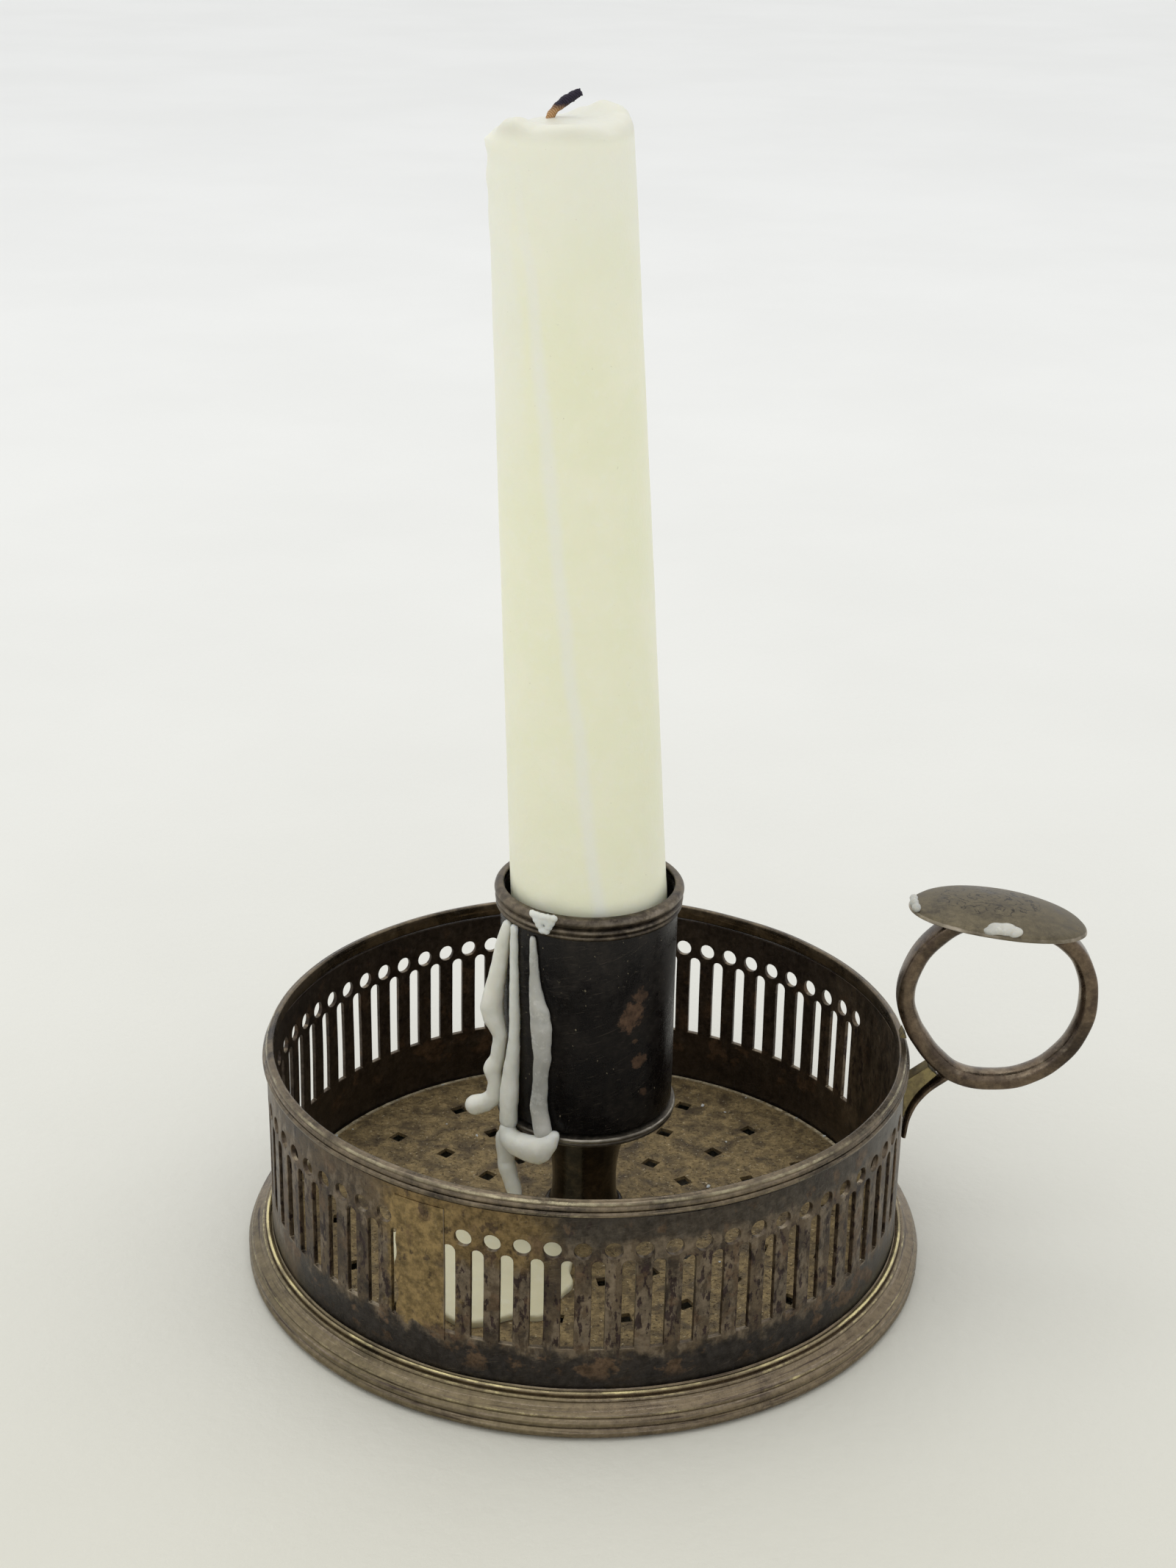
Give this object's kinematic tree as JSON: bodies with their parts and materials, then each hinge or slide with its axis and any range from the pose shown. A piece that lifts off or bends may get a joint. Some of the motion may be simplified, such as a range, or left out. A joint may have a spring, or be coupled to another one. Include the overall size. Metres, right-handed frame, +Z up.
{
  "type": "chamber candlestick",
  "caption": "Low chamber candlestick: pierced gallery on a reeded foot, plain socket on a spool stem, ring handle with an oval thumb piece, and a leaning part-burnt candle with wax runs.",
  "frame": {"origin": "on the socket's axis in the plane that the foot stands on; the centre rivet's flat underside is 0.5 mm above it", "axes": "+Z up along the socket's axis, +X towards the ring handle, +Y to the far side of the handle's plane"},
  "size_m": [0.1227, 0.0992, 0.1671],
  "materials": {
    "tarnished_plate": "silver plate, tarnished brown and worn through to copper in places, satin",
    "darkened_plate": "silver plate, tarnished nearly black, glossy",
    "bared_metal": "bare yellow-brown solder and base metal, dull",
    "candle_wax": "ivory candle wax, translucent, satin",
    "dripped_wax": "white candle wax run and set, translucent",
    "wick_cotton": "braided cotton, charred at the tip"
  },
  "bodies": {
    "holder": {"foot_rim": "tarnished_plate", "floor_plate": "tarnished_plate", "gallery_wall": "tarnished_plate", "gallery_rim": "tarnished_plate", "socket_rim": "tarnished_plate", "socket_base": "tarnished_plate", "handle_strap": "tarnished_plate", "thumb_piece": "tarnished_plate", "centre_rivet": "tarnished_plate", "rivet_washer": "tarnished_plate", "socket_tube": "darkened_plate", "stem": "darkened_plate", "seam_strip": "bared_metal", "upper_lug": "bared_metal", "lower_lug": "bared_metal", "wax_run_left": "dripped_wax", "wax_run_middle": "dripped_wax", "wax_run_right": "dripped_wax", "wax_pool": "dripped_wax", "wax_icicle": "dripped_wax", "wax_scale": "dripped_wax", "wax_puddle": "dripped_wax", "wax_drop_left": "dripped_wax", "wax_drop_front": "dripped_wax"},
    "candle": {"candle": "candle_wax", "wick": "wick_cotton"}
  },
  "joints": [
    {"name": "candle_lift", "type": "slide", "parent": "holder", "child": "candle", "axis": [-0.0497, 0, 0.9988], "range_m": [0, 0.04]}
  ]
}
